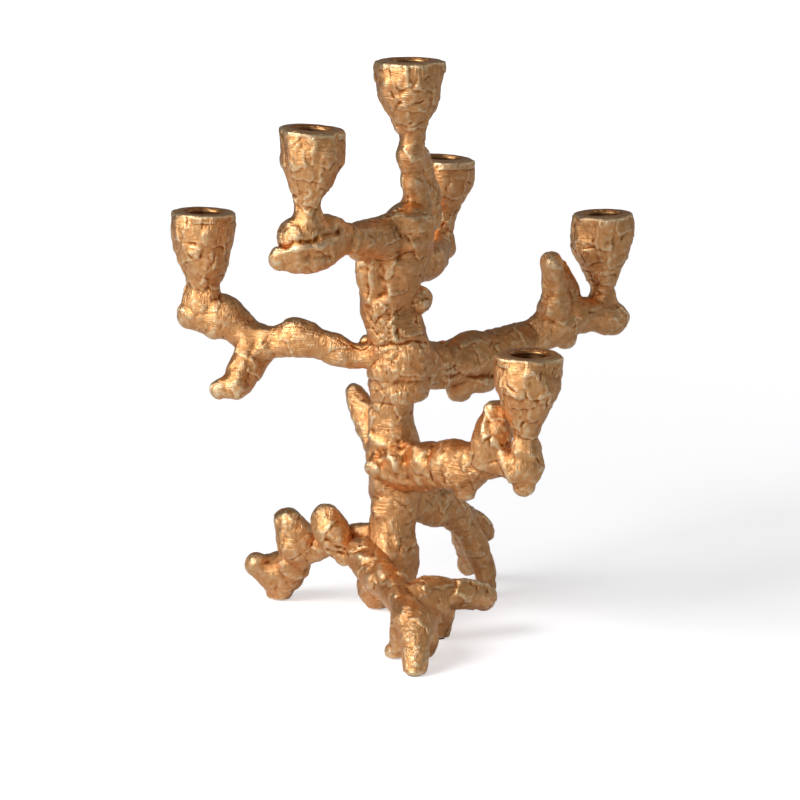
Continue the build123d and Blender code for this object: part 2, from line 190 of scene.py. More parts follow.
def spun(section: list[tuple[float, float]], steps: int, place: Matrix) -> bmesh.types.BMesh:
    """Spins a section about its axis, and moves the closed solid to its place.

    Args:
        section: Its points, as distances from the axis and heights.
        steps: How many steps a turn has.
        place: The move.

    Returns:
        The solid, with its faces outward.
    """
    bm = bmesh.new()
    vertices = [bm.verts.new((radius, 0, height)) for radius, height in section]
    for first, second in itertools.pairwise(vertices):
        bm.edges.new((first, second))
    bmesh.ops.spin(
        bm, geom=[*bm.verts, *bm.edges], axis=(0, 0, 1), cent=(0, 0, 0),
        angle=math.tau, steps=steps, use_merge=True,
    )
    bmesh.ops.remove_doubles(bm, verts=bm.verts, dist=1e-6)
    bmesh.ops.recalc_face_normals(bm, faces=bm.faces)
    bmesh.ops.transform(bm, verts=bm.verts, matrix=place)
    return bm


def merged_copy(node: str) -> bmesh.types.BMesh:
    """A copy of a CAD node's mesh with its loose triangles joined up."""
    bm = bmesh.new()
    bm.from_mesh(frame["nodes"][node].data)
    bmesh.ops.remove_doubles(bm, verts=bm.verts, dist=1e-6)
    return bm


# ---------------------------------------------------------------- where the castings meet


@dataclass(frozen=True)
class Seam:
    """A plane that two castings meet on.

    Attributes:
        centre: A point in the middle of the joint.
        normal: The plane's normal, which is the stud's axis.
        reach: How far from the centre the joint's faces are cut.
    """

    centre: Vector
    normal: Vector
    reach: float


def stud_seams(group: str, reach: float) -> list[Seam]:
    """The seams that a group of studs crosses, each in the middle of its stud.

    Args:
        group: The CAD node that holds the studs.
        reach: How far the castings' faces are cut around each stud.

    Returns:
        One seam for each stud.
    """
    bm = merged_copy(group)
    seams = []
    for vertices in islands(bm):
        points = np.array([v.co for v in vertices])
        centre = (points.min(0) + points.max(0)) / 2
        _, _, axes = np.linalg.svd(points - points.mean(0), full_matrices=False)
        axis = Vector(axes[0])
        if axis.z < 0:
            axis = -axis
        ends = (points - centre) @ np.array(axis)
        middle = Vector(centre) + axis * float((ends.min() + ends.max()) / 2)
        seams.append(Seam(middle, axis.normalized(), reach))
    bm.free()
    return seams


def collar_seams() -> list[Seam]:
    """The seams on the collar's underside and top."""
    low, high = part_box("collar")
    middle = (low + high) / 2
    reach = (high - low).x * 0.72
    return [
        Seam(Vector((middle.x, middle.y, z)), UP.copy(), reach) for z in (low.z, high.z)
    ]


# ---------------------------------------------------------------- candle cups


@dataclass(frozen=True)
class Mouth:
    """The bored mouth of a candle cup.

    Attributes:
        name: The cup's place on the candelabra.
        foot: A point on the cup's axis, where it meets its arm.
        axis: The way out of the mouth.
        height: From the foot to the rim.
        bore: The liner's inner radius.
        hole: The liner's outer radius.
        depth: How far below the rim the liner ends.
        lip: How far below the rim the liner begins.
    """

    name: str
    foot: Vector
    axis: Vector
    height: float
    bore: float
    hole: float
    depth: float
    lip: float

    @property
    def rim(self) -> Vector:
        """The middle of the mouth."""
        return self.foot + self.axis * self.height

    def matrix(self) -> Matrix:
        """The move that takes the origin to the mouth and +Z to the way out of it."""
        turn = self.axis.to_track_quat("Z", "Y").to_matrix().to_4x4()
        return Matrix.Translation(self.rim) @ turn


def read_mouth(name: str, seams: list[Seam]) -> Mouth:
    """Reads one cup's mouth off its CAD nodes.

    Args:
        name: The cup's place on the candelabra.
        seams: The seams at the cups' feet.

    Returns:
        The cup's mouth.
    """
    low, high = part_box(f"{name}_cup")
    middle = Vector(((low.x + high.x) / 2, (low.y + high.y) / 2, low.z))
    seam = min(seams, key=lambda s: (s.centre - middle).length)
    cup = coordinates(frame["nodes"][f"{name}_cup"].data) - np.array(seam.centre)
    liner = coordinates(frame["nodes"][f"{name}_cup_liner"].data) - np.array(seam.centre)
    axis = np.array(seam.normal)
    height = float((cup @ axis).max())
    along = liner @ axis
    across = np.linalg.norm(liner - np.outer(along, axis), axis=1)
    wall = across[across > 0.5 * across.max()]
    return Mouth(
        name, seam.centre, seam.normal, height, float(wall.min()), float(wall.max()),
        height - float(along.min()), height - float(along.max()),
    )


# ---------------------------------------------------------------- the clay and its tools

# A hash of a lattice cell gives the three slopes of the noise there, ten bits for each.
CELL_PRIMES = np.array((73856093, 19349663, 83492791), np.uint64)
HASH_MASK = np.uint64(0xFFFFFFFF)
HASH_SHIFT = np.uint64(15)
HASH_MULTIPLIERS = (np.uint64(0x2C1B3C6D), np.uint64(0x297A2D39))
SLOPE_BITS = (np.uint64(2), np.uint64(12), np.uint64(22))
SLOPE_MASK = np.uint64(1023)
# Keeps the cells' numbers above zero.
LATTICE_SHIFT = 500
NOISE_GAIN = 1.6

SPOT_TRIES = 16000
NORMAL_ROUNDS = 6
GOUGE_REACH = 5 * MM
GOUGE_BEND = 10 * MM
GOUGE_WANDER = 1.8 * MM


def lattice_noise(points: np.ndarray, size: float, seed: float) -> np.ndarray:
    """Smooth noise on a lattice of random slopes.

    Args:
        points: Where it is wanted, as rows of x, y and z.
        size: How far apart the lattice's points are.
        seed: Shifts the pattern.

    Returns:
        A value from about -1 to 1 for each point.
    """
    scaled = points / size + np.array((seed, 1.7 * seed, -2.3 * seed)) + LATTICE_SHIFT
    cell = np.floor(scaled)
    offset = scaled - cell
    fade = offset**3 * (offset * (offset * 6 - 15) + 10)
    total = np.zeros(len(points))
    for corner in itertools.product((0, 1), repeat=3):
        key = ((cell + corner).astype(np.uint64) * CELL_PRIMES).sum(1) & HASH_MASK
        for multiplier in HASH_MULTIPLIERS:
            key = ((key ^ (key >> HASH_SHIFT)) * multiplier) & HASH_MASK
        slopes = [((key >> bits) & SLOPE_MASK) / 511.5 - 1 for bits in SLOPE_BITS]
        share = np.where(corner, fade, 1 - fade).prod(1)
        total += share * ((offset - corner) * np.stack(slopes, 1)).sum(1)
    return NOISE_GAIN * total


class Clay:
    """The skin while it is being modelled.

    Attributes:
        mesh: The mesh that is modelled.
        points: Its vertices.
        normals: Its vertices' normals.
        free: How freely each vertex may be moved, from 0 to 1.
        on_cup: Which vertices are on a candle cup.
    """

    def __init__(self, mesh: bpy.types.Mesh, mouths: list[Mouth]) -> None:
        """Takes over a mesh.

        Args:
            mesh: The smooth skin.
            mouths: The cups' mouths, whose rims stay flat.
        """
        self.mesh = mesh
        self.points = coordinates(mesh)
        self.free = np.ones(len(self.points))
        self.on_cup = np.zeros(len(self.points), bool)
        for mouth in mouths:
            self._keep_rim(mouth)
        self.settle()

    def _keep_rim(self, mouth: Mouth) -> None:
        """Marks a cup, and holds the top of its rim still."""
        axis = np.array(mouth.axis)
        local = self.points - np.array(mouth.rim)
        along = local @ axis
        across = np.linalg.norm(local - np.outer(along, axis), axis=1)
        near = (across < mouth.hole * 1.9) & (along < 3 * MM)
        top = smoothstep(-1.8 * MM, -0.3 * MM, along) * near
        self.free = np.minimum(self.free, 1 - 0.85 * top)
        self.on_cup |= near & (along > 8 * MM - mouth.height)

    def settle(self) -> None:
        """Brings the mesh, its normals and the search tree up to date."""
        self.mesh.vertices.foreach_set("co", self.points.astype(np.float32).ravel())
        self.mesh.update()
        self.normals = self._even(vertex_normals(self.mesh))
        self.tree = KDTree(len(self.points))
        for index, point in enumerate(self.points.tolist()):
            self.tree.insert(point, index)
        self.tree.balance()

    def _even(self, normals: np.ndarray) -> np.ndarray:
        """Evens out the normals, so that a tool's mark doesn't fray.

        Args:
            normals: The vertices' own normals.

        Returns:
            The normals, averaged over the vertices around.
        """
        ends = np.empty(2 * len(self.mesh.edges), np.int32)
        self.mesh.edges.foreach_get("vertices", ends)
        one, other = ends[0::2], ends[1::2]
        count = len(normals)
        for _ in range(NORMAL_ROUNDS):
            around = [
                np.bincount(one, normals[other, axis], count)
                + np.bincount(other, normals[one, axis], count)
                for axis in range(3)
            ]
            normals = normals + np.stack(around, 1)
            normals /= np.linalg.norm(normals, axis=1, keepdims=True)
        return normals

    def rub(self, times: int) -> None:
        """Rubs the surface smooth."""
        obj = object_from(self.mesh.copy(), "rubbed")
        rub = obj.modifiers.new("rub", "SMOOTH")
        rub.factor = 0.5
        rub.iterations = times
        rubbed = applied(obj)
        self.points = coordinates(rubbed)
        bpy.data.meshes.remove(rubbed)
        self.settle()

    def near(self, centre: np.ndarray, radius: float) -> np.ndarray:
        """The vertices within a radius of a point."""
        return np.array([found[1] for found in self.tree.find_range(centre, radius)], int)

    def spots(self, spacing: float, rng: np.random.Generator, where: np.ndarray) -> list[int]:
        """Vertices scattered over the skin.

        Args:
            spacing: How far apart they are at least.
            rng: Chooses them.
            where: Which vertices may be chosen.

        Returns:
            Their indices.
        """
        taken: dict[tuple[int, ...], list[np.ndarray]] = {}
        chosen = []
        for index in rng.permutation(np.flatnonzero(where))[:SPOT_TRIES]:
            point = self.points[index]
            cell = np.floor(point / spacing).astype(int)
            around = [
                other
                for step in itertools.product((-1, 0, 1), repeat=3)
                for other in taken.get(tuple(cell + step), [])
            ]
            if all(np.linalg.norm(point - other) > spacing for other in around):
                taken.setdefault(tuple(cell), []).append(point)
                chosen.append(int(index))
        return chosen

    def push(self, lift: np.ndarray) -> None:
        """Moves the surface along its normals."""
        self.points += self.normals * (lift * self.free)[:, None]


@dataclass(frozen=True)
class Lumps:
    """Soft swellings of the clay.

    Attributes:
        size: How wide a swelling is.
        height: How high it is.
        seed: Shifts the pattern.
    """

    size: float
    height: float
    seed: float

    def work(self, clay: Clay) -> None:
        """Swells the clay."""
        clay.push(lattice_noise(clay.points, self.size, self.seed) * self.height)


@dataclass(frozen=True)
class Flats:
    """Flats that a thumb or a knife presses into the clay.

    Attributes:
        spacing: How far apart they are.
        reach: How far from its middle a flat works.
        depth: How deep its middle is pressed.
        tilt: How much it leans.
        fill: The share by which the clay around it rises to it.
        cups: Whether they are on the cups or on the branches.
        seed: Chooses the flats.
    """

    spacing: float
    reach: float
    depth: float
    tilt: float
    fill: float
    cups: bool
    seed: int

    def work(self, clay: Clay) -> None:
        """Presses the flats."""
        rng = np.random.default_rng(self.seed)
        for index in clay.spots(self.spacing, rng, clay.on_cup == self.cups):
            lean = rng.normal(0, self.tilt, 3)
            depth = self.depth * rng.uniform(0.5, 1.4)
            press(clay, clay.points[index], lean, self.reach, depth, self.fill)


def press(clay: Clay, centre: np.ndarray, lean: np.ndarray, reach: float, depth: float,
          fill: float) -> None:
    """Presses one flat.

    Args:
        clay: The clay.
        centre: The middle of the flat.
        lean: What is added to the surface's normal.
        reach: How far it works.
        depth: How deep its middle is pressed.
        fill: The share by which the clay around it rises to it.
    """
    near = clay.near(centre, reach)
    normal = clay.normals[near].mean(0) + lean
    normal /= np.linalg.norm(normal)
    near = near[clay.normals[near] @ normal > 0.25]
    local = clay.points[near] - centre
    height = local @ normal + depth
    fade = 1 - smoothstep(0.7, 1.0, np.linalg.norm(local, axis=1) / reach)
    move = np.where(height > 0, height, fill * height) * fade * clay.free[near]
    clay.points[near] -= normal * move[:, None]


@dataclass(frozen=True)
class Slabs:
    """Thin slabs of clay laid over each other, each with a proud edge.

    Attributes:
        spacing: How far apart they are.
        width: Half the width of a slab.
        length: Half the length of a slab.
        rise: How far its edge stands proud.
        turn: How far it may be turned from upright, in radians.
        cups: Whether they are laid on the cups or on the branches.
        seed: Chooses the slabs.
    """

    spacing: float
    width: float
    length: float
    rise: float
    turn: float
    cups: bool
    seed: int

    def work(self, clay: Clay) -> None:
        """Lays the slabs."""
        rng = np.random.default_rng(self.seed)
        for index in clay.spots(self.spacing, rng, clay.on_cup == self.cups):
            self._lay(clay, index, rng)

    def _lay(self, clay: Clay, index: int, rng: np.random.Generator) -> None:
        """Lays one slab around a vertex."""
        centre, normal = clay.points[index], clay.normals[index]
        side, up = tangents(normal, rng.uniform(-self.turn, self.turn))
        near = clay.near(centre, 1.5 * max(self.width, self.length))
        local = clay.points[near] - centre
        wander = 0.22 * lattice_noise(clay.points[near], 0.6 * self.width, float(self.seed))
        across = local @ side / (self.width * rng.uniform(0.7, 1.3)) + wander
        along = local @ up / (self.length * rng.uniform(0.7, 1.3)) + wander
        inside = 1 - smoothstep(0.80, 1.0, np.maximum(np.abs(across), np.abs(along)))
        wedge = np.clip(0.55 - 0.45 * along, 0, 1) * (local @ normal > -0.6 * self.width)
        lift = self.rise * inside * wedge * clay.free[near]
        clay.points[near] += clay.normals[near] * lift[:, None]


def tangents(normal: np.ndarray, turn: float) -> tuple[np.ndarray, np.ndarray]:
    """Two directions along a surface.

    Args:
        normal: The surface's normal.
        turn: How far they are turned about it, in radians.

    Returns:
        The direction to the side and the one that points up the surface.
    """
    side = np.cross((0.0, 0.0, 1.0), normal)
    if np.linalg.norm(side) < 0.05:
        side = np.array((1.0, 0.0, 0.0))
    side /= np.linalg.norm(side)
    up = np.cross(normal, side)
    return (
        side * math.cos(turn) + up * math.sin(turn),
        up * math.cos(turn) - side * math.sin(turn),
    )


@dataclass(frozen=True)
class Nicks:
    """Short cracks and knife nicks.

    Attributes:
        spacing: How far apart they are.
        length: How long a nick is.
        width: Its half-width.
        depth: How deep it is.
        turn: How far it may be turned from level, in radians.
        cups: Whether they are on the cups or on the branches.
        seed: Chooses the nicks.
    """

    spacing: float
    length: float
    width: float
    depth: float
    turn: float
    cups: bool
    seed: int

    def work(self, clay: Clay) -> None:
        """Cuts the nicks."""
        rng = np.random.default_rng(self.seed)
        for index in clay.spots(self.spacing, rng, clay.on_cup == self.cups):
            side, up = tangents(clay.normals[index], rng.uniform(-self.turn, self.turn))
            near = clay.near(clay.points[index], self.length)
            local = clay.points[near] - clay.points[index]
            bend = 0.9 * self.width * lattice_noise(clay.points[near], 3 * MM, 4.0)
            along = 2 * local @ side / (self.length * rng.uniform(0.4, 1.2))
            across = (local @ up + bend) / self.width
            lift = -self.depth * rng.uniform(0.3, 1.2) * np.exp(-(across**2) - along**4)
            clay.points[near] += clay.normals[near] * (lift * clay.free[near])[:, None]


@dataclass(frozen=True)
class Gouge:
    """A groove or a ridge that a modelling tool left along a line.

    Attributes:
        line: The points it runs through, in millimetres.
        width: Its half-width, in millimetres.
        depth: How deep it is, in millimetres; below 0 for a ridge.
    """

    line: tuple[tuple[float, float, float], ...]
    width: float
    depth: float

    def work(self, clay: Clay) -> None:
        """Cuts the groove or raises the ridge."""
        wander = np.stack(
            [lattice_noise(clay.points, GOUGE_BEND, seed) for seed in (2.0, 5.0, 8.0)], 1
        )
        points = clay.points + GOUGE_WANDER * wander
        gap = np.full(len(points), np.inf)
        for start, end in itertools.pairwise(np.array(self.line) * MM):
            run = end - start
            share = np.clip((points - start) @ run / (run @ run), 0, 1)
            away = points - start - share[:, None] * run
            above = (away * clay.normals).sum(1)
            beside = np.linalg.norm(away - clay.normals * above[:, None], axis=1)
            beside[np.abs(above) > GOUGE_REACH] = np.inf
            gap = np.minimum(gap, beside)
        uneven = 1 + 0.5 * lattice_noise(clay.points, 9 * MM, 3.0)
        near = np.exp(-((gap / (self.width * MM)) ** 2))
        clay.push(-self.depth * MM * uneven * near)


@dataclass(frozen=True)
class Crumbs:
    """A patch of crumbly clay.

    Attributes:
        centre: Its middle, in millimetres.
        radius: Its radius, in millimetres.
        size: How big a crumb is, in millimetres.
        height: How high the crumbs stand, in millimetres.
    """

    centre: tuple[float, float, float]
    radius: float
    size: float
    height: float

    def work(self, clay: Clay) -> None:
        """Roughens the patch."""
        gap = np.linalg.norm(clay.points - np.array(self.centre) * MM, axis=1)
        wander = 1 + 0.35 * lattice_noise(clay.points, 6 * MM, 9.0)
        fade = 1 - smoothstep(0.75, 1.05, gap / (self.radius * MM) * wander)
        crumbs = lattice_noise(clay.points, self.size * MM, 6.0)
        clods = lattice_noise(clay.points, 2.7 * self.size * MM, 7.0)
        clay.push(fade * self.height * MM * (0.7 * crumbs + clods))


@dataclass(frozen=True)
class Dent:
    """One flat pressed at a chosen place.

    Attributes:
        centre: Its middle, in millimetres.
        facing: The way the flat faces.
        reach: How far it works, in millimetres.
        depth: How deep its middle is pressed, in millimetres.
    """

    centre: tuple[float, float, float]
    facing: tuple[float, float, float]
    reach: float
    depth: float

    def work(self, clay: Clay) -> None:
        """Presses the flat."""
        centre = np.array(self.centre) * MM
        normal = np.array(self.facing) / np.linalg.norm(self.facing)
        near = clay.near(centre, self.reach * MM)
        near = near[clay.normals[near] @ normal > 0.1]
        local = clay.points[near] - centre
        height = local @ normal + self.depth * MM
        fade = 1 - smoothstep(0.8, 1.0, np.linalg.norm(local, axis=1) / (self.reach * MM))
        move = np.where(height > 0, height, 0.6 * height) * fade * clay.free[near]
        clay.points[near] -= normal * move[:, None]


# The skin is rubbed thin before it is modelled, and this brings it back to size.
SWELL = 0.6 * MM
FIRST_TOOLS = (
    Lumps(24 * MM, 1.8 * MM, 3.1),
    Lumps(11 * MM, 1.1 * MM, 8.4),
)
BROAD_TOOLS = (
    Flats(13 * MM, 12 * MM, 2.1 * MM, 0.24, 0.5, False, 11),
    Flats(12 * MM, 9 * MM, 1.0 * MM, 0.2, 0.5, True, 12),
    Flats(8 * MM, 7 * MM, 0.8 * MM, 0.28, 0.4, False, 13),
)
# The planes of the knot, the upper left knob, the fin, the collar, the trunk, the right arm and
# the front foot, in this order.
FACETS = (
    Dent((2, -22, 263), (0.5, -1, 0.3), 18, 2.2),
    Dent((8, -20, 255), (0.4, -1, -0.6), 13, 1.8),
    Dent((-12, -20, 277), (-0.5, -0.6, 1), 11, 1.2),
    Dent((16, -12, 266), (1, -0.5, 0.1), 12, 1.5),
    Dent((4, -14, 281), (0.2, -0.4, 1), 13, 1.2),
    Dent((-10, -26, 262), (-0.6, -1, -0.4), 13, 1.2),
    Dent((-60, -88, 262), (0.2, -1, 0.0), 17, 1.8),
    Dent((-74, -80, 266), (-0.7, -1, 0.6), 13, 1.5),
    Dent((-44, -76, 262), (1, -0.8, 0.1), 12, 1.2),
    Dent((52, -66, 150), (-0.5, -1, 0.2), 13, 1.4),
    Dent((62, -68, 146), (0.8, -0.9, 0.4), 12, 1.4),
    Dent((-4, -17, 156), (0.0, -1, 0.0), 14, 1.0),
    Dent((-4, -16, 179), (-0.2, -1, -0.1), 12, 0.8),
    Dent((2, -14, 230), (0.3, -1, 0.0), 15, 1.4),
    Dent((4, -14, 205), (0.6, -1, 0.0), 13, 1.2),
    Dent((34, 16, 172), (0.3, -1, 0.5), 15, 1.2),
    Dent((0, -98, 24), (0.1, -1, 0.3), 14, 1.6),
    Dent((-14, -88, 26), (-1, -0.7, 0.3), 12, 1.4),
    Dent((12, -90, 30), (0.9, -0.7, 0.6), 12, 1.3),
)
SLAB_TOOLS = (
    Slabs(14 * MM, 8 * MM, 11 * MM, 0.9 * MM, 0.4, True, 21),
    Slabs(20 * MM, 9.0 * MM, 7.0 * MM, 0.8 * MM, 1.6, False, 22),
)
# The grooves, ridges and crumbly patches that give the front its character.
HAND_MARKS = (
    Gouge(((-17.7, -16.8, 247), (-16.5, -16.1, 237.1), (-16.5, -15.2, 224)), 3.2, 2.6),
    Gouge(((-23.2, -12.5, 241.1), (-22.6, -12.1, 229.8), (-22.6, -11.3, 219.7)), 3.2, -2.0),
    Gouge(((-33, -2, 189), (-20.7, -8, 190.5), (-4.4, -14, 191.0), (12, -5.5, 189.3)), 1.8, 1.0),
    Gouge(((-8.9, -14, 214.9), (-8.3, -14, 203.6), (-7.6, -14.2, 193.7)), 2.2, -1.3),
    Gouge(((-4, -18, 123.6), (-2.5, -27.8, 115.1), (1, -25.9, 103.9)), 3.4, 2.6),
    Gouge(((7.4, -28.4, 124.6), (8.6, -36.8, 115.2), (6.7, -33.1, 104.3)), 4.0, -1.8),
    Gouge(((16.2, -31.9, 126.8), (13.8, -41.2, 118.3), (16.1, -41.3, 107.6)), 2.6, 1.8),
    Gouge(((25.9, -39.1, 129.8), (25, -53, 121.1), (23.6, -46.8, 107.6)), 2.4, 1.2),
    Gouge(((-22.9, -1.8, 126.6), (-14.9, -10.6, 121.8), (-6, -20, 113)), 3.4, -2.0),
    Gouge(((-26, -8, 113), (-16, -17, 110), (-8, -22, 104)), 3.0, 1.5),
    Gouge(((-80, -74, 266), (-67.2, -82.6, 270), (-52, -78, 273), (-43, -67, 275)), 2.2, 1.8),
    Gouge(((-80, -76, 263), (-67.2, -84, 266.5), (-52, -80, 268)), 2.8, -1.3),
    Gouge(((53, -60, 158), (49.5, -66.4, 144), (59.7, -69.1, 134), (67.3, -77, 116.2)), 2.4, -1.8),
    Gouge(((-53.5, -4.3, 56.3), (-44.2, -3.9, 50.8)), 1.6, 1.3),
    Gouge(((-50.9, -1.2, 51.0), (-43.0, -2.2, 46.0)), 1.6, 1.2),
    Gouge(((-36.1, -15.9, 49), (-20.8, -29.9, 48.1), (-9.6, -62.6, 41.4), (-7, -82.6, 37)),
          3.4, -2.2),
    Gouge(((-4.4, -48.2, 43.5), (16, -52, 43), (36, -49.9, 41), (52, -44, 36)), 3.0, -2.0),
    Gouge(((19.4, 10.3, 165.5), (32.2, 21.8, 162.4), (45.8, 36.3, 159), (57.3, 42.5, 158)),
          2.2, 1.4),
    Gouge(((-20, -24, 266), (-4, -27, 264), (14, -20, 262)), 3.0, 1.5),
    Gouge(((-14, -24, 273), (2, -22, 275), (16, -14, 271)), 3.4, -1.6),
    Crumbs((-16.1, -13.5, 205), 14, 1.5, 0.6),
    Crumbs((-12, -14, 182), 11, 1.5, 0.6),
    Crumbs((-12, -21, 276), 7, 1.6, 0.55),
    Crumbs((11, -1, 217), 7, 2.2, 0.9),
    Crumbs((-106, 15, 203), 8, 1.5, 0.45),
    Crumbs((14, 12, 285), 12, 2.0, 0.5),
    Crumbs((28, 18, 166), 12, 2.4, 0.55),
)
FINE_TOOLS = (
    Nicks(17 * MM, 12 * MM, 0.9 * MM, 1.0 * MM, 1.5, True, 31),
    Nicks(14 * MM, 11 * MM, 1.0 * MM, 0.5 * MM, 1.4, False, 32),
    Lumps(5.0 * MM, 0.40 * MM, 5.7),
    Lumps(2.6 * MM, 0.16 * MM, 1.7),
)


class ClaySkin:
    """The one continuous skin of all the castings, modelled as clay and then parted.

    Attributes:
        voxel: How fine the skin is.
        smoothing: How often it is rubbed before it is modelled.
        sole: How high its underside is, which is the thickness of the felt pads.
        cover: How far the studs are grown before clay is laid over them.
        relief_rounds: How often the copy is rubbed that the relief is measured from.
        relief_height: The relief that counts as a full ridge.
        mouths: The cups' mouths.
        seams: The seams between the castings.
    """

    voxel = 0.85 * MM
    smoothing = 12
    sole = 1.2 * MM
    cover = 2.2 * MM
    relief_rounds = 14
    relief_height = 0.3 * MM

    def __init__(self, mouths: list[Mouth]) -> None:
        """Keeps the cups' mouths, which are modelled shut and bored afterwards."""
        self.mouths = mouths
        self.seams = (
            stud_seams("arm_studs", 26 * MM)
            + stud_seams("leg_studs", 17 * MM)
            + stud_seams("cup_studs", 16 * MM)
            + collar_seams()
        )

    def build(self) -> dict[str, bpy.types.Mesh]:
        """Models the skin and parts it at the seams.

        Returns:
            A closed mesh for each casting, by its node's name.
        """
        clay = Clay(self._remesh(self._gather()), self.mouths)
        clay.rub(self.smoothing)
        self._model(clay)
        self._note_relief(clay)
        return self._part(clay.mesh)

    def _plug(self, bm: bmesh.types.BMesh, radius: float, place: Matrix, low: float,
              high: float) -> None:
        """Adds a cylinder that fills a hole.

        Args:
            bm: Where it is added.
            radius: Its radius.
            place: Where its axis is.
            low: Where it starts on the axis.
            high: Where it ends on the axis.
        """
        shift = Matrix.Translation((0, 0, (low + high) / 2))
        bmesh.ops.create_cone(
            bm, cap_ends=True, segments=48, radius1=radius, radius2=radius,
            depth=high - low, matrix=place @ shift,
        )

    def _sheathe(self, bm: bmesh.types.BMesh, node: str) -> None:
        """Adds a node's studs, grown a little, so that clay covers every stud.

        Args:
            bm: Where they are added.
            node: The CAD node that holds the studs.
        """
        studs = merged_copy(node)
        studs.normal_update()
        for vertex in studs.verts:
            vertex.co += vertex.normal * self.cover
        sheath = mesh_from(studs, "sheath")
        bm.from_mesh(sheath)
        bpy.data.meshes.remove(sheath)

    def _gather(self) -> bmesh.types.BMesh:
        """All castings as they are in the CAD, with the cups and the rod's hole filled."""
        bm = bmesh.new()
        for node in CASTINGS:
            bm.from_mesh(frame["nodes"][node].data)
        bmesh.ops.remove_doubles(bm, verts=bm.verts, dist=1e-7)
        for mouth in self.mouths:
            self._plug(
                bm, mouth.hole + 1.6 * MM, mouth.matrix(), -mouth.depth - 1 * MM, 0.0
            )
        rod_low, rod_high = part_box("tie_rod")
        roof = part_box("tie_rod_washer")[1].z
        centre = (rod_low + rod_high) / 2
        place = Matrix.Translation((centre.x, centre.y, 0))
        radius = (rod_high - rod_low).x / 2
        self._plug(bm, radius + 0.8 * MM, place, roof, rod_high.z + 1 * MM)
        for node in STUDS:
            self._sheathe(bm, node)
        return bm

    def _remesh(self, bm: bmesh.types.BMesh) -> bpy.types.Mesh:
        """Joins everything into one even skin."""
        obj = object_from(mesh_from(bm, "clay"), "clay")
        remesh = obj.modifiers.new("remesh", "REMESH")
        remesh.mode = "VOXEL"
        remesh.voxel_size = self.voxel
        return self._outside(applied(obj))

    def _outside(self, mesh: bpy.types.Mesh) -> bpy.types.Mesh:
        """Drops the skins of the closed hollows inside."""
        bm = bmesh.new()
        bm.from_mesh(mesh)
        groups = sorted(islands(bm), key=len)
        inner = [v for group in groups[:-1] for v in group]
        bmesh.ops.delete(bm, geom=inner, context="VERTS")
        bm.to_mesh(mesh)
        bm.free()
        return mesh

    def _model(self, clay: Clay) -> None:
        """Works the clay with every tool in turn.

        Args:
            clay: The smooth clay.
        """
        clay.push(np.full(len(clay.points), SWELL))
        for tool in FIRST_TOOLS:
            tool.work(clay)
        clay.settle()
        for tool in BROAD_TOOLS + FACETS:
            tool.work(clay)
        clay.rub(1)
        for tool in SLAB_TOOLS:
            tool.work(clay)
        clay.settle()
        for mark in HAND_MARKS:
            mark.work(clay)
        for tool in FINE_TOOLS:
            tool.work(clay)
        clay.points[:, 2] = np.maximum(clay.points[:, 2], self.sole)
        clay.settle()

    def _note_relief(self, clay: Clay) -> None:
        """Notes how far each point stands out of its surroundings, for the finish, which paints
        shade into the hollows and highlights onto the ridges from it.

        Args:
            clay: The modelled clay.
        """
        rubbed = Clay(clay.mesh.copy(), [])
        rubbed.rub(self.relief_rounds)
        gap = clay.points - rubbed.points
        stands = (gap * rubbed.normals).sum(1) / self.relief_height
        bpy.data.meshes.remove(rubbed.mesh)
        attribute = clay.mesh.attributes.new("relief", "FLOAT", "POINT")
        values = np.clip(0.5 + 0.5 * stands, 0, 1).astype(np.float32)
        attribute.data.foreach_set("value", values)

    # ------------------------------------------------------------ parting

    def _part(self, mesh: bpy.types.Mesh) -> dict[str, bpy.types.Mesh]:
        """Cuts the skin at the seams, and shares its faces out among the castings.

        Args:
            mesh: The modelled skin.

        Returns:
            A closed mesh for each casting.
        """
        bm = bmesh.new()
        bm.from_mesh(mesh)
        for seam in self.seams:
            near = [f for f in bm.faces if (f.verts[0].co - seam.centre).length < seam.reach]
            edges = {e for f in near for e in f.edges}
            vertices = {v for f in near for v in f.verts}
            bmesh.ops.bisect_plane(
                bm, geom=[*vertices, *edges, *near], dist=1e-6,
                plane_co=seam.centre, plane_no=seam.normal,
            )
        tree, owners = self._owners()
        for face in bm.faces:
            found = tree.find_nearest(face.calc_center_median())
            face.material_index = owners[found[2]]
        whole = object_from(mesh_from(bm, "whole"), "whole")
        for node in CASTINGS:
            whole.data.materials.append(bpy.data.materials.new(node))
        pieces = self._separated(whole)
        return {node: self._closed(pieces[node], node) for node in CASTINGS}

    def _separated(self, whole: bpy.types.Object) -> dict[str, bpy.types.Object]:
        """Separates the skin by its placeholder materials.

        Args:
            whole: The skin, whose faces carry their casting's index.

        Returns:
            One object for each casting, by its node's name.
        """
        bpy.context.view_layer.objects.active = whole
        whole.select_set(True)
        before = set(bpy.data.objects) - {whole}
        bpy.ops.object.mode_set(mode="EDIT")
        bpy.ops.mesh.select_all(action="SELECT")
        bpy.ops.mesh.separate(type="MATERIAL")
        bpy.ops.object.mode_set(mode="OBJECT")
        made = [obj for obj in bpy.data.objects if obj not in before]
        return {piece.data.materials[0].name: piece for piece in made}

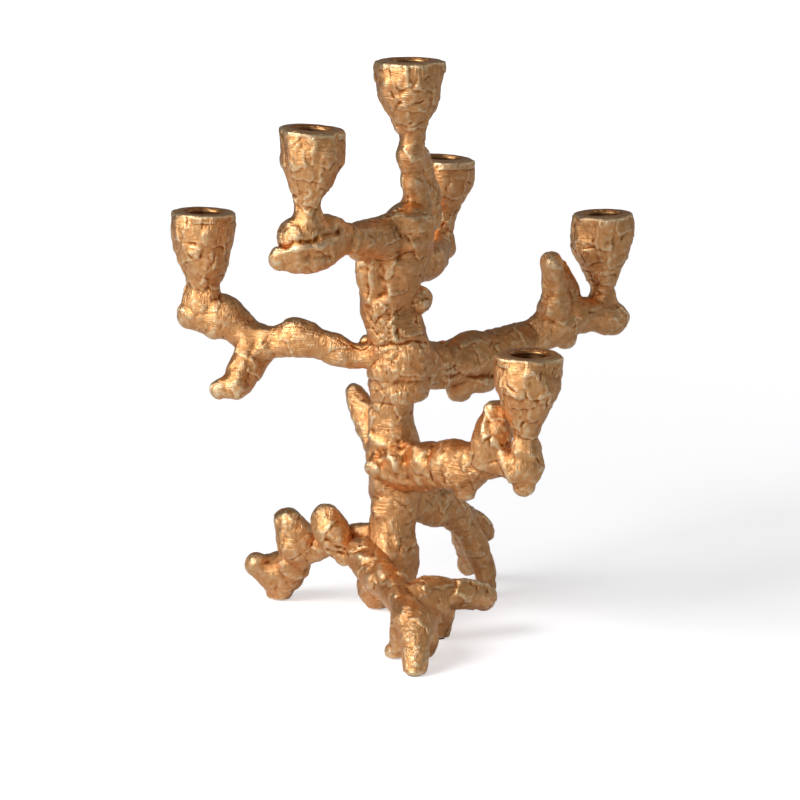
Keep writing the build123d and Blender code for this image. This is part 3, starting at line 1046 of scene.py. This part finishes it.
    def _owners(self) -> tuple[BVHTree, list[int]]:
        """A search tree of the castings' outer faces, and which casting each is on.

        Returns:
            The tree, and a casting's index for each of its faces.
        """
        vertices, polygons, owners = [], [], []
        planes = [(np.array(s.centre), np.array(s.normal), s.reach) for s in self.seams]
        for index, node in enumerate(CASTINGS):
            mesh = frame["nodes"][node].data
            points = coordinates(mesh)
            base = len(vertices)
            vertices.extend(map(tuple, points))
            corners = np.empty(len(mesh.polygons) * 3, np.int32)
            mesh.polygons.foreach_get("vertices", corners)
            corners = corners.reshape(-1, 3)
            middles = points[corners].mean(1)
            keep = np.ones(len(corners), bool)
            for centre, normal, reach in planes:
                local = middles - centre
                flat = np.abs(local @ normal) < 0.05 * MM
                keep &= ~(flat & (np.linalg.norm(local, axis=1) < reach))
            polygons.extend(map(tuple, (corners[keep] + base).tolist()))
            owners.extend([index] * int(keep.sum()))
        return BVHTree.FromPolygons(vertices, polygons), owners

    def _closed(self, piece: bpy.types.Object, node: str) -> bpy.types.Mesh:
        """One casting's share of the skin, closed at its seams.

        Args:
            piece: The open share, whose object is removed.
            node: The casting's name.

        Returns:
            A closed mesh.
        """
        mesh = piece.data
        bm = bmesh.new()
        bm.from_mesh(mesh)
        bpy.data.objects.remove(piece)
        bpy.data.meshes.remove(mesh)
        groups = sorted(islands(bm), key=len)
        crumbs = [v for group in groups[:-1] for v in group]
        bmesh.ops.delete(bm, geom=crumbs, context="VERTS")
        rims = [e for e in bm.edges if e.is_boundary]
        caps = bmesh.ops.holes_fill(bm, edges=rims, sides=0)["faces"]
        for face in bm.faces:
            face.smooth = True
        for face in caps:
            face.smooth = False
            for edge in face.edges:
                edge.smooth = False
        bmesh.ops.triangulate(bm, faces=[f for f in caps if len(f.verts) > 4])
        for face in bm.faces:
            face.material_index = 0
        LOG.info("%s: %d crumbs, %d caps", node, len(crumbs), len(caps))
        return mesh_from(bm, node)


# ---------------------------------------------------------------- finishes


class Graph:
    """A material's node tree, with short ways to add and join nodes."""

    def __init__(self, tree: bpy.types.NodeTree) -> None:
        """Takes over a node tree."""
        self.tree = tree

    def node(self, kind: str, **values: object) -> bpy.types.Node:
        """Adds a node.

        Args:
            kind: The node's type.
            values: What its input sockets are set or linked to; a space in a socket's name
                is written as an underscore.

        Returns:
            The new node.
        """
        node = self.tree.nodes.new(kind)
        for name, value in values.items():
            self.feed(node.inputs[name.replace("_", " ")], value)
        return node

    def feed(self, socket: bpy.types.NodeSocket, value: object) -> None:
        """Links a socket to an output, or sets its value."""
        if isinstance(value, bpy.types.NodeSocket):
            self.tree.links.new(value, socket)
        else:
            socket.default_value = value

    def maths(self, operation: str, first: object, second: object = 0.0
              ) -> bpy.types.NodeSocket:
        """Adds a math node.

        Args:
            operation: What it works out.
            first: Its first value or link.
            second: Its second value or link.

        Returns:
            Its output.
        """
        node = self.tree.nodes.new("ShaderNodeMath")
        node.operation = operation
        self.feed(node.inputs[0], first)
        self.feed(node.inputs[1], second)
        return node.outputs[0]

    def ramp(self, value: bpy.types.NodeSocket, low: float, high: float, start: float,
             end: float) -> bpy.types.NodeSocket:
        """Maps a value from one range onto another, clamped.

        Args:
            value: The value.
            low: The bottom of its range.
            high: The top of its range.
            start: What the bottom becomes.
            end: What the top becomes.

        Returns:
            The mapped value.
        """
        node = self.node(
            "ShaderNodeMapRange", Value=value, From_Min=low, From_Max=high, To_Min=start,
            To_Max=end,
        )
        return node.outputs["Result"]

    def blend(self, share: object, first: object, second: object) -> bpy.types.NodeSocket:
        """Mixes two colours.

        Args:
            share: How much of the second there is.
            first: The first colour.
            second: The second colour.

        Returns:
            The mixed colour.
        """
        node = self.tree.nodes.new("ShaderNodeMix")
        node.data_type = "RGBA"
        self.feed(node.inputs["Factor"], share)
        self.feed(node.inputs[6], first)
        self.feed(node.inputs[7], second)
        return node.outputs[2]


class Effects:
    """The node groups that several finishes share."""

    def __init__(self) -> None:
        """Builds the groups."""
        self.brushwork = self._brushwork()

    def _group(self, name: str, inputs: dict[str, float], outputs: tuple[str, ...]
               ) -> tuple[Graph, bpy.types.Node, bpy.types.Node]:
        """Starts a node group.

        Args:
            name: Its name.
            inputs: Its number sockets and their defaults, after a vector socket.
            outputs: Its output sockets.

        Returns:
            The group's graph, its input node and its output node.
        """
        tree = bpy.data.node_groups.new(name, "ShaderNodeTree")
        tree.interface.new_socket("Vector", in_out="INPUT", socket_type="NodeSocketVector")
        for socket, default in inputs.items():
            made = tree.interface.new_socket(
                socket, in_out="INPUT", socket_type="NodeSocketFloat"
            )
            made.default_value = default
        for socket in outputs:
            tree.interface.new_socket(
                socket, in_out="OUTPUT", socket_type="NodeSocketFloat"
            )
        graph = Graph(tree)
        return graph, graph.node("NodeGroupInput"), graph.node("NodeGroupOutput")

    def _brushwork(self) -> bpy.types.NodeTree:
        """Brush strokes and fine grain, as a height and a soft mottling.

        Returns:
            The node group.
        """
        graph, source, sink = self._group(
            "brushwork", {"Stroke": 1.0, "Grain": 1.0}, ("Height", "Mottle")
        )
        place = source.outputs["Vector"]
        level = graph.node("ShaderNodeMapping", Vector=place, Scale=(1.0, 1.0, 9.0))
        level = graph.node(
            "ShaderNodeTexNoise", Vector=level.outputs[0], Scale=95.0, Detail=4.0,
            Roughness=0.62, Distortion=0.7,
        )
        upright = graph.node(
            "ShaderNodeMapping", Vector=place, Scale=(8.0, 8.0, 1.2),
            Rotation=(0.5, 0.35, 0.0),
        )
        upright = graph.node(
            "ShaderNodeTexNoise", Vector=upright.outputs[0], Scale=95.0, Detail=4.0,
            Roughness=0.62, Distortion=0.7,
        )
        patches = graph.node("ShaderNodeTexNoise", Vector=place, Scale=32.0, Detail=1.0)
        which = graph.ramp(patches.outputs[0], 0.46, 0.56, 0.0, 1.0)
        strokes = graph.node("ShaderNodeMix", Factor=which)
        graph.feed(strokes.inputs[2], level.outputs[0])
        graph.feed(strokes.inputs[3], upright.outputs[0])
        grain = graph.node(
            "ShaderNodeTexNoise", Vector=place, Scale=1100.0, Detail=3.0, Roughness=0.6
        )
        strong = graph.maths("MULTIPLY", strokes.outputs[0], source.outputs["Stroke"])
        fine = graph.maths("MULTIPLY", grain.outputs[0], source.outputs["Grain"])
        graph.feed(sink.inputs["Height"], graph.maths("ADD", strong, fine))
        mottle = graph.node(
            "ShaderNodeTexNoise", Vector=place, Scale=140.0, Detail=6.0, Roughness=0.7
        )
        graph.feed(sink.inputs["Mottle"], mottle.outputs[0])
        return graph.tree


@dataclass(frozen=True)
class Finish:
    """A metal or felt finish with brushwork or grain.

    Attributes:
        name: The material's name.
        base: Its colour.
        deep: Its colour in the hollows: painted shade where the clay's relief places it, and a
            darker random tone where the mottling places it. The random stains use it too.
        bright: Its colour on the ridges: a painted highlight where the clay's relief places it,
            and a lighter random tone where the mottling places it.
        metallic: How metallic it is.
        roughness: Its mean roughness.
        spread: How much its roughness varies.
        stroke: How strong its brush strokes are.
        grain: How strong its grain is.
        bump: How deep both are.
        coat: How much clear lacquer lies on it.
        modelled: Whether its pieces carry the clay's relief, which then places its painted shade
            and painted highlights.
    """

    name: str
    base: tuple[float, float, float]
    deep: tuple[float, float, float]
    bright: tuple[float, float, float]
    metallic: float = 1.0
    roughness: float = 0.4
    spread: float = 0.12
    stroke: float = 1.0
    grain: float = 0.5
    bump: float = 0.3 * MM
    coat: float = 0.0
    modelled: bool = False

    def material(self, effects: Effects) -> bpy.types.Material:
        """Builds the material.

        Args:
            effects: The shared node groups.

        Returns:
            A node material.
        """
        mat = bpy.data.materials.new(self.name)
        mat.use_nodes = True
        graph = Graph(mat.node_tree)
        shader = mat.node_tree.nodes["Principled BSDF"]
        shader.inputs["Metallic"].default_value = self.metallic
        shader.inputs["Coat Weight"].default_value = self.coat
        shader.inputs["Coat Roughness"].default_value = 0.35
        place = graph.node("ShaderNodeTexCoord").outputs["Object"]
        brush = graph.tree.nodes.new("ShaderNodeGroup")
        brush.node_tree = effects.brushwork
        graph.feed(brush.inputs["Vector"], place)
        graph.feed(brush.inputs["Stroke"], self.stroke)
        graph.feed(brush.inputs["Grain"], self.grain)
        mottle = brush.outputs["Mottle"]
        colour = self._colour(graph, mottle)
        graph.feed(shader.inputs["Base Color"], colour)
        rough = graph.ramp(
            mottle, 0.32, 0.68, self.roughness - self.spread, self.roughness + self.spread
        )
        graph.feed(shader.inputs["Roughness"], rough)
        bump = graph.node("ShaderNodeBump", Distance=self.bump, Height=brush.outputs["Height"])
        graph.feed(shader.inputs["Normal"], bump.outputs[0])
        return mat

    def _colour(self, graph: Graph, mottle: bpy.types.NodeSocket) -> bpy.types.NodeSocket:
        """The colour over the surface, with painted shade in the hollows and painted highlights on
        the ridges where the clay's relief drives it.

        Args:
            graph: The material's graph.
            mottle: The soft mottling.

        Returns:
            The colour's output.
        """
        if self.modelled:
            relief = graph.node("ShaderNodeAttribute")
            relief.attribute_name = "relief"
            height = relief.outputs["Fac"]
        else:
            height = mottle
        # With the clay's relief, low paints shade into the hollows and high paints highlights onto
        # the ridges; with the mottling they give a random tone.
        low = graph.ramp(height, 0.12, 0.46, 1.0, 0.0)
        high = graph.ramp(height, 0.56, 0.9, 0.0, 1.0)
        colour = graph.blend(low, (*self.base, 1), (*self.deep, 1))
        colour = graph.blend(high, colour, (*self.bright, 1))
        stain = graph.ramp(mottle, 0.5, 0.75, 0.0, 0.35)
        return graph.blend(stain, colour, (*self.deep, 1))


# The gold's deep colour is painted shade in the hollows and its bright colour is a painted
# highlight on the ridges, both placed by the clay's relief.
GOLD = Finish(
    "gold_lacquer", (0.81, 0.41, 0.16), (0.34, 0.105, 0.02), (0.98, 0.73, 0.43),
    roughness=0.34, spread=0.1, stroke=1.0, grain=0.25, bump=0.9 * MM, coat=0.06,
    modelled=True,
)
BRASS = Finish(
    "drawn_brass", (0.42, 0.22, 0.09), (0.2, 0.09, 0.03), (0.5, 0.3, 0.14),
    roughness=0.38, stroke=0.5, grain=0.2, bump=0.1 * MM,
)
STEEL = Finish(
    "zinc_plate", (0.56, 0.57, 0.58), (0.3, 0.3, 0.31), (0.7, 0.7, 0.72),
    roughness=0.32, stroke=0.3, grain=0.2, bump=0.05 * MM,
)
FELT = Finish(
    "brown_felt", (0.09, 0.06, 0.045), (0.05, 0.035, 0.025), (0.13, 0.09, 0.07),
    metallic=0.0, roughness=0.9, spread=0.05, stroke=0.2, grain=1.0, bump=0.5 * MM,
)


# ---------------------------------------------------------------- the studio


@dataclass(frozen=True)
class Softbox:
    """A square studio lamp.

    Attributes:
        name: Its name.
        place: Where it hangs.
        size: How wide it is.
        power: How strong it is.
    """

    name: str
    place: tuple[float, float, float]
    size: float
    power: float

    def hang(self, aim: Vector) -> None:
        """Adds the lamp, turned to a point."""
        data = bpy.data.lights.new(self.name, "AREA")
        data.size = self.size
        data.energy = self.power
        lamp = bpy.data.objects.new(self.name, data)
        bpy.context.scene.collection.objects.link(lamp)
        lamp.location = self.place
        lamp.rotation_mode = "QUATERNION"
        lamp.rotation_quaternion = (aim - Vector(self.place)).to_track_quat("-Z", "Y")


@dataclass(frozen=True)
class Studio:
    """The pale floor, the soft lights and the camera.

    Attributes:
        lamps: The lamps.
        ambient: How bright the room is.
        floor_glow: How much brighter the floor is to the camera than to the object.
        far_glow: The same far away, where the lamps are dimmer.
        middle: How high the point is that the lamps are turned to.
        glow_near: How far from the middle the floor's glow begins to change.
        glow_far: How far away it no longer changes.
        aim: What the camera looks at.
        distance: How far away the camera is.
        pitch: How far it looks down, in degrees.
        lens: Its focal length.
    """

    lamps: tuple[Softbox, ...] = (
        Softbox("key", (-1.45, -0.95, 1.25), 1.25, 37.0),
        Softbox("fill", (-0.2, -2.1, 0.9), 0.8, 3.0),
        Softbox("rim", (1.5, 0.7, 0.9), 0.8, 2.5),
    )
    ambient: float = 0.15
    floor_glow: float = 0.52
    far_glow: float = 1.0
    middle: float = 0.19
    glow_near: float = 0.4
    glow_far: float = 2.5
    aim: tuple[float, float, float] = (-0.0044, 0.0024, 0.150)
    distance: float = 2.3
    pitch: float = 12.3
    lens: float = 156.8

    def build(self) -> None:
        """Builds the studio."""
        self._floor()
        world = bpy.data.worlds.new("studio")
        bpy.context.scene.world = world
        world.use_nodes = True
        background = world.node_tree.nodes["Background"]
        background.inputs["Color"].default_value = (1, 1, 1, 1)
        background.inputs["Strength"].default_value = self.ambient
        for lamp in self.lamps:
            lamp.hang(UP * self.middle)
        self._camera()
        bpy.context.scene.view_settings.view_transform = "Standard"

    def _floor(self) -> None:
        """Lays the floor."""
        bm = bmesh.new()
        bmesh.ops.create_grid(bm, x_segments=1, y_segments=1, size=8)
        floor = object_from(mesh_from(bm, "floor"), "floor")
        mat = bpy.data.materials.new("studio_floor")
        mat.use_nodes = True
        graph = Graph(mat.node_tree)
        shader = mat.node_tree.nodes["Principled BSDF"]
        shader.inputs["Base Color"].default_value = (0.90, 0.90, 0.93, 1)
        shader.inputs["Roughness"].default_value = 0.9
        shader.inputs["Specular IOR Level"].default_value = 0.0
        seen = graph.node("ShaderNodeLightPath").outputs["Is Camera Ray"]
        place = graph.node("ShaderNodeTexCoord").outputs["Object"]
        away = graph.tree.nodes.new("ShaderNodeVectorMath")
        away.operation = "LENGTH"
        graph.feed(away.inputs[0], place)
        glow = graph.ramp(
            away.outputs["Value"], self.glow_near, self.glow_far, self.floor_glow,
            self.far_glow,
        )
        glow = graph.maths("MULTIPLY", seen, glow)
        shader.inputs["Emission Color"].default_value = (1, 1, 1, 1)
        graph.feed(shader.inputs["Emission Strength"], glow)
        floor.data.materials.append(mat)

    def _camera(self) -> None:
        """Adds the camera."""
        data = bpy.data.cameras.new("camera")
        camera = bpy.data.objects.new("camera", data)
        bpy.context.scene.collection.objects.link(camera)
        bpy.context.scene.camera = camera
        tilt = math.radians(self.pitch)
        back = Vector((0, -math.cos(tilt), math.sin(tilt)))
        camera.location = Vector(self.aim) + back * self.distance
        camera.rotation_mode = "QUATERNION"
        camera.rotation_quaternion = (-back).to_track_quat("-Z", "Y")
        data.sensor_width = 36
        data.lens = self.lens
        data.clip_end = 50


# ---------------------------------------------------------------- the candelabra


@dataclass(frozen=True)
class Liner:
    """A drawn metal liner with shallow ridges, in a candle cup.

    Attributes:
        mouth: The mouth that it lines.
        pitch: How far apart its ridges are.
        ridge: How high they are.
        lip: The width of the bevel on its edges.
        plain: How far below its edge the first ridge is, in pitches.
        steps: How many steps its round has.
    """

    mouth: Mouth
    pitch: float = 1.5 * MM
    ridge: float = 0.22 * MM
    lip: float = 0.3 * MM
    plain: float = 1.2
    steps: int = 72

    def _profile(self) -> list[tuple[float, float]]:
        """Its section, from the middle of its floor outside to the middle inside."""
        mouth = self.mouth
        wall = mouth.hole - mouth.bore
        top, bottom = -mouth.lip, -mouth.depth
        floor = bottom + wall
        section = [(0.0, bottom), (mouth.hole - self.lip, bottom), (mouth.hole, bottom + self.lip)]
        section += [(mouth.hole, top - self.lip), (mouth.hole - self.lip, top)]
        section += [(mouth.bore + self.lip, top), (mouth.bore, top - self.lip)]
        rows = int((top - floor - 3 * self.pitch) / self.pitch)
        for row in range(rows):
            height = top - (row + self.plain) * self.pitch
            section.append((mouth.bore, height))
            section.append((mouth.bore + self.ridge, height - 0.5 * self.pitch))
        section += [(mouth.bore, floor), (0.0, floor)]
        return section

    def build(self) -> bpy.types.Object:
        """Spins the liner.

        Returns:
            The new object.
        """
        bm = spun(self._profile(), self.steps, self.mouth.matrix())
        for face in bm.faces:
            face.smooth = True
        return object_from(mesh_from(bm, "liner"), f"{self.mouth.name}_liner")


@dataclass(frozen=True)
class Bore:
    """The bore of a candle cup, with a chamfered mouth.

    Attributes:
        mouth: The mouth that is bored.
        clearance: How much wider than the liner it is.
        chamfer: How wide the chamfer is.
        above: How far the cutter stands out of the mouth.
        steps: How many steps its round has.
    """

    mouth: Mouth
    clearance: float = 0.05 * MM
    chamfer: float = 0.6 * MM
    above: float = 5 * MM
    steps: int = 96

    def cut(self, obj: bpy.types.Object) -> bpy.types.Object:
        """Bores a solid cup.

        Args:
            obj: The solid cup, which is removed.

        Returns:
            The bored cup.
        """
        cutter = self._cutter()
        cut = obj.modifiers.new("bore", "BOOLEAN")
        cut.operation = "DIFFERENCE"
        cut.solver = "EXACT"
        cut.object = cutter
        name = obj.name
        mesh = applied(obj)
        bpy.data.objects.remove(cutter)
        return object_from(mesh, name)

    def _cutter(self) -> bpy.types.Object:
        """The tool that cuts the bore."""
        radius = self.mouth.hole + self.clearance
        floor = -self.mouth.depth - self.clearance
        section = [
            (0, floor), (radius, floor), (radius, -self.chamfer),
            (radius + self.chamfer + self.above, self.above), (0, self.above),
        ]
        bm = spun(section, self.steps, self.mouth.matrix())
        return object_from(mesh_from(bm, "cutter"), "cutter")


class Candelabra:
    """All pieces of the object."""

    def __init__(self) -> None:
        """Reads the cups' mouths off the frame, and builds the finishes."""
        seams = stud_seams("cup_studs", 0.0)
        self.mouths = [read_mouth(name, seams) for name in CUP_NAMES]
        effects = Effects()
        self.finishes = {
            Slot.GOLD: GOLD.material(effects),
            Slot.LINER: BRASS.material(effects),
            Slot.STEEL: STEEL.material(effects),
            Slot.FELT: FELT.material(effects),
        }

    def dress(self, obj: bpy.types.Object, node: str, slot: Slot) -> None:
        """Gives a finished piece its material and its place in the frame.

        Args:
            obj: The piece.
            node: The CAD node that it replaces.
            slot: Its material slot.
        """
        obj.data.materials.clear()
        obj.data.materials.append(self.finishes[slot])
        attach(obj, BODY)
        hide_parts(node)
        LOG.info("%s: %d faces", obj.name, len(obj.data.polygons))

    def build(self) -> None:
        """Builds and dresses every piece."""
        self._castings()
        for mouth in self.mouths:
            self.dress(Liner(mouth).build(), f"{mouth.name}_cup_liner", Slot.LINER)
        for node in HARDWARE:
            self._finish_node(node, Slot.STEEL)
        self._finish_node("felt_pads", Slot.FELT)

    def _castings(self) -> None:
        """Models the castings, and bores the cups."""
        bores = {f"{mouth.name}_cup": Bore(mouth) for mouth in self.mouths}
        for node, mesh in ClaySkin(self.mouths).build().items():
            obj = object_from(mesh, f"{node}_skin")
            if node in bores:
                obj = bores[node].cut(obj)
            self.dress(obj, node, Slot.GOLD)

    def _finish_node(self, node: str, slot: Slot) -> None:
        """Gives a CAD node that is shown as it is its material."""
        obj = frame["nodes"][node]
        obj.data.materials.clear()
        obj.data.materials.append(self.finishes[slot])
        LOG.info("%s: finished as %s", node, slot.value)


def main() -> None:
    """Builds the candelabra in its studio."""
    logging.basicConfig(level=logging.INFO, format="%(message)s")
    Studio().build()
    Candelabra().build()


if __name__ == "__main__":
    main()
